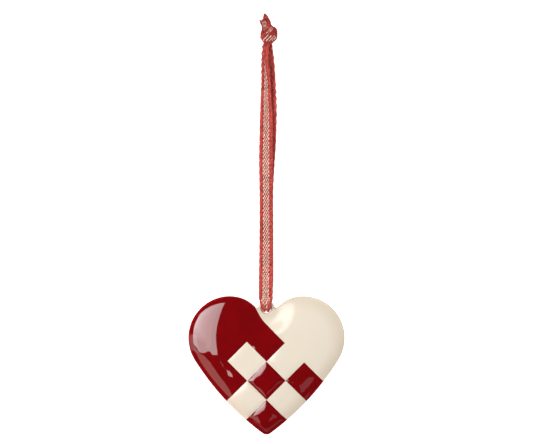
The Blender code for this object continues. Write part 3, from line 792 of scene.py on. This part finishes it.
def enamelled_heart(node):
    """A fine copy of the heart's solid: each face is cut into sixteen, and every point's height is
    worked out again. Front: the puff rises as the root of one less the share of the way to the rim
    cubed, and each colour's edge slopes down to its seam, more widely at a square's upper and lower
    corners. Back: a quarter round at the rim, and flat inside. Both fall to the eyelet's rounded ring,
    which stands on the middle plane."""
    fine = bmesh.new()
    fine.from_mesh(node.data)
    bmesh.ops.remove_doubles(fine, verts=fine.verts, dist=TOUCHING)
    bmesh.ops.subdivide_edges(fine, edges=fine.edges, cuts=3, use_grid_fill=True)
    bmesh.ops.triangulate(fine, faces=fine.faces)
    mesh = bpy.data.meshes.new("enamelled_heart")
    fine.to_mesh(mesh)
    fine.free()
    points = np.zeros(len(mesh.vertices) * 3)
    mesh.vertices.foreach_get("co", points)
    points = points.reshape(-1, 3)
    flat = points[:, :2]
    share = rim_share(flat, heart_outline(False))
    seam = np.min([distance_to_row(flat, row) for row in colour_seams()], axis=0)
    around_hole = np.hypot(*(flat - HOLE).T)
    to_body = np.hypot(*(flat - PUFF).T) * (1 / np.maximum(share, 0.01) - 1)

    near = around_hole < FRONT_DISH
    from_edge = around_hole - HOLE_RADIUS
    from_edge[near] = np.minimum(from_edge[near], distance_to_row(flat[near], heart_outline(True)))
    ring = np.sqrt(1 - (1 - np.clip(from_edge / EYELET_ROUND, 0, 1)) ** 2)

    front_eyelet = fade((around_hole - EYELET_RADIUS) / (FRONT_DISH - EYELET_RADIUS))
    back_eyelet = fade((around_hole - EYELET_RADIUS) / (BACK_DISH - EYELET_RADIUS))
    puff = FRONT_RISE * np.sqrt(1 - share**FRONT_FULLNESS)
    red, swell = enamel_at(flat)
    swing = np.cos(2 * math.pi * (flat[:, 1] - WEAVE[1] - SQUARE_HEIGHT / 2) / SQUARE_HEIGHT)
    ripple = np.sin(2 * math.pi * flat[:, 0] / RIPPLE_LENGTH)
    margin = GROOVE_MARGIN + MARGIN_SWING * swing + MARGIN_RIPPLE * ripple
    dip = np.clip(1 - seam / margin, 0, 1) ** GROOVE_POWER
    groove = (GROOVE_DEPTH * dip - swell * (1 - dip)) * (1 - fade((1 - share) / GROOVE_FADE))
    depth = BACK_DEPTH * np.sqrt(1 - (1 - np.clip((1 - share) / BACK_RIM, 0, 1)) ** 2)
    front = (1 - front_eyelet) * puff + front_eyelet * EYELET_FRONT * ring - groove
    for x, y, height, reach in GLAZE_DROPS:
        far = np.hypot(flat[:, 0] - x * MM, flat[:, 1] - y * MM) / (reach * MM)
        front += height * MM * np.exp(-far * far)
    back = -(1 - back_eyelet) * depth - back_eyelet * EYELET_BACK * ring
    above = points[:, 2] - BACK_DEPTH
    middle = np.abs(above) < TOUCHING
    points[:, 2] = BACK_DEPTH + np.where(middle, 0, np.where(above > 0, front, back))

    mesh.vertices.foreach_set("co", points.ravel())
    mesh.shade_smooth()
    item = bpy.data.objects.new("enamelled_heart", mesh)
    bpy.context.scene.collection.objects.link(item)
    add_attribute(item, "seam", np.where(red, seam, -seam) / MM)
    add_attribute(item, "rim", np.minimum(to_body, WELL_INSIDE) / MM)
    return item


# Each enamel's two cloudy tones, and what they turn to towards the rim: the red's lighter rim colour is a
# painted reflection, and the cream's warmer and tan rim colours are painted shade
DEEP_RED = (0.150, 0.0010, 0.0022, 1)
BRIGHT_RED = (0.225, 0.0014, 0.003, 1)
RIM_REFLECTION_RED = (0.34, 0.02, 0.022, 1)
CREAM = (0.750, 0.680, 0.560, 1)
PALE_CREAM = (0.780, 0.710, 0.590, 1)
RIM_SHADE_CREAM = (0.60, 0.49, 0.36, 1)
EDGE_SHADE_TAN = (0.50, 0.36, 0.24, 1)
# Where each change towards the rim starts and is complete, in mm from the rim
RIM_REFLECTION_SPAN = (0.9, 0.3)
RIM_SHADE_SPAN = (8.0, 1.0)
EDGE_SHADE_SPAN = (0.5, 0.12)
THIN_GLAZE_RIM = (1.5, 0.4)
# How wide the line between the colours is, in mm to each side of it
COLOUR_EDGE = 0.04
CREAM_GLOSS = 0.4
RED_GLOSS = 1.0


def glossy_enamel():
    """Two glossy enamels that meet in a crisp line: deep red, lightened at the rim by a painted reflection,
    and cream, darkened towards the rim and to a tan edge at it by painted shade.
    The glaze lies in soft waves, thins at the rim, and shines less on the cream."""
    enamel = Finish("glossy_enamel", roughness=0.5, coat_roughness=0.03, coat_ior=1.62)
    enamel.shader.inputs["Specular IOR Level"].default_value = 0.0
    seam = enamel.attribute("seam")
    rim = enamel.attribute("rim")
    cloudy = enamel.noise(5 * MM, 3)
    red = enamel.mix(cloudy, DEEP_RED, BRIGHT_RED)
    # Painted reflection: the red turns lighter within a mm of the rim
    red = enamel.mix(enamel.step(rim, *RIM_REFLECTION_SPAN) * 0.5, red, RIM_REFLECTION_RED)
    cream = enamel.mix(cloudy, CREAM, PALE_CREAM)
    # Painted shade: the cream darkens and warms towards the rim
    cream = enamel.mix(enamel.step(rim, *RIM_SHADE_SPAN) * 0.4, cream, RIM_SHADE_CREAM)
    # Painted shade: a tan line at the very rim
    cream = enamel.mix(enamel.step(rim, *EDGE_SHADE_SPAN) * 0.45, cream, EDGE_SHADE_TAN)
    is_red = enamel.step(seam, -COLOUR_EDGE, COLOUR_EDGE)
    enamel.surface("Base Color", enamel.mix(is_red, cream, red))
    thin = enamel.step(rim, *THIN_GLAZE_RIM) * 0.6
    enamel.surface("Coat Weight", (is_red * (RED_GLOSS - CREAM_GLOSS) + CREAM_GLOSS) * (1 - thin))
    flow = enamel.noise(9 * MM, 1)
    ripple = enamel.noise(3.5 * MM, 1)
    speck = enamel.noise(1.2 * MM, 1)
    enamel.bump(flow + ripple * 0.18 + speck * 0.09, 0.24 * MM, 1.0)
    return enamel.material


heart = enamelled_heart(bpy.data.objects["heart"])
heart.data.materials.append(glossy_enamel())
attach(heart, "root")
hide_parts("heart")


# Floor and light
# A pale studio floor that glows a little, so that it stays white. A large soft box up on the left
# gives the enamel its main reflection, with a warm panel below it, two small ones on the right, and
# pale walls and an overhead panel that fill the shadows.
FLOOR_SIZE = 4.0
FLOOR_GLOW = 0.95


def studio_floor():
    """A matt white floor, lit a little from itself."""
    pale = Finish("studio_floor", roughness=0.9)
    pale.shader.inputs["Specular IOR Level"].default_value = 0.0
    grain = pale.noise(0.5, 2)
    pale.surface("Base Color", pale.mix(grain, (0.80, 0.80, 0.80, 1), (0.84, 0.84, 0.84, 1)))
    pale.shader.inputs["Emission Color"].default_value = (1, 1, 1, 1)
    pale.shader.inputs["Emission Strength"].default_value = FLOOR_GLOW
    return pale.material


half = FLOOR_SIZE / 2
floor = add_mesh(
    "floor", [(-half, -half, 0), (half, -half, 0), (half, half, 0), (-half, half, 0)], [(0, 1, 2, 3)],
    studio_floor(),
)
floor.visible_glossy = False


WHITE = (1.0, 1.0, 1.0)
WARM = (1.0, 0.62, 0.55)
BOX_HEIGHT = 0.6


def soft_box(name, middle, size, radiance, aim=None, tint=WHITE, mirrored=True, lights_matt=True):
    """A flat area light that looks straight down, or at its aim: its power is its radiance times pi
    times its area. One that only fills the shadows isn't mirrored in the enamel, and one that only
    shines in the enamel lights nothing matt."""
    light = bpy.data.lights.new(name, "AREA")
    light.shape = "RECTANGLE"
    light.size = size[0]
    light.size_y = size[1]
    light.energy = radiance * math.pi * size[0] * size[1]
    light.color = tint
    item = bpy.data.objects.new(name, light)
    item.location = middle
    aim = Vector(aim or (middle[0], middle[1], 0.0))
    item.rotation_euler = (aim - Vector(middle)).to_track_quat("-Z", "Y").to_euler()
    item.visible_glossy = mirrored
    item.visible_diffuse = lights_matt
    bpy.context.scene.collection.objects.link(item)
    return item


# The main box, and its brighter part, which fades from the left edge in nested steps
MAIN_MIDDLE = (-0.471, 0.216)
MAIN_SIZE = (0.618, 0.708)
GLOW_LEFT = -0.78
GLOW_LEVEL = 0.27
GLOW_WIDTHS = np.linspace(0.58, 0.14, 8)
GLOW_SHAPE = 1.034
GLOW_RADIANCE = 0.666

soft_box("main_box", (*MAIN_MIDDLE, BOX_HEIGHT), MAIN_SIZE, 3.0)
soft_box("main_shine", (*MAIN_MIDDLE, BOX_HEIGHT + MM), MAIN_SIZE, 1.8, lights_matt=False)
soft_box("overhead", (0.0, 0.05, 1.5), (3.0, 3.0), 0.43, mirrored=False)
for number, width in enumerate(GLOW_WIDTHS.tolist()):
    middle = (GLOW_LEFT + width / 2, GLOW_LEVEL, BOX_HEIGHT + (2 + number) * MM)
    soft_box(f"glow_{number}", middle, (width, width * GLOW_SHAPE), GLOW_RADIANCE)
soft_box("low_left_panel", (-0.60, -0.47, BOX_HEIGHT), (0.56, 0.48), 1.9, tint=WARM)
soft_box("low_right_panel", (0.29, -0.32, BOX_HEIGHT), (0.20, 0.18), 0.5)
soft_box("right_strip", (1.05, 0.16, 0.55), (0.34, 0.30), 5.0)
soft_box("right_wall", (1.3, 0.0, 0.22), (0.40, 2.4), 4.8, (0.0, 0.0, 0.22), mirrored=False)
soft_box("lower_wall", (0.1, -1.3, 0.37), (2.4, 0.7), 0.3, (0.1, 0.0, 0.1))
soft_box("left_wall", (-1.3, -0.2, 0.28), (0.5, 2.4), 1.3, (0.0, -0.2, 0.1))
soft_box("upper_wall", (0.1, 1.4, 0.30), (2.4, 0.5), 1.2, (0.1, 0.1, 0.1), mirrored=False)

world = bpy.data.worlds.new("studio")
world.use_nodes = True
world.node_tree.nodes["Background"].inputs["Color"].default_value = (1.0, 0.985, 0.97, 1)
world.node_tree.nodes["Background"].inputs["Strength"].default_value = 0.025
bpy.context.scene.world = world
bpy.context.scene.view_settings.view_transform = "Standard"
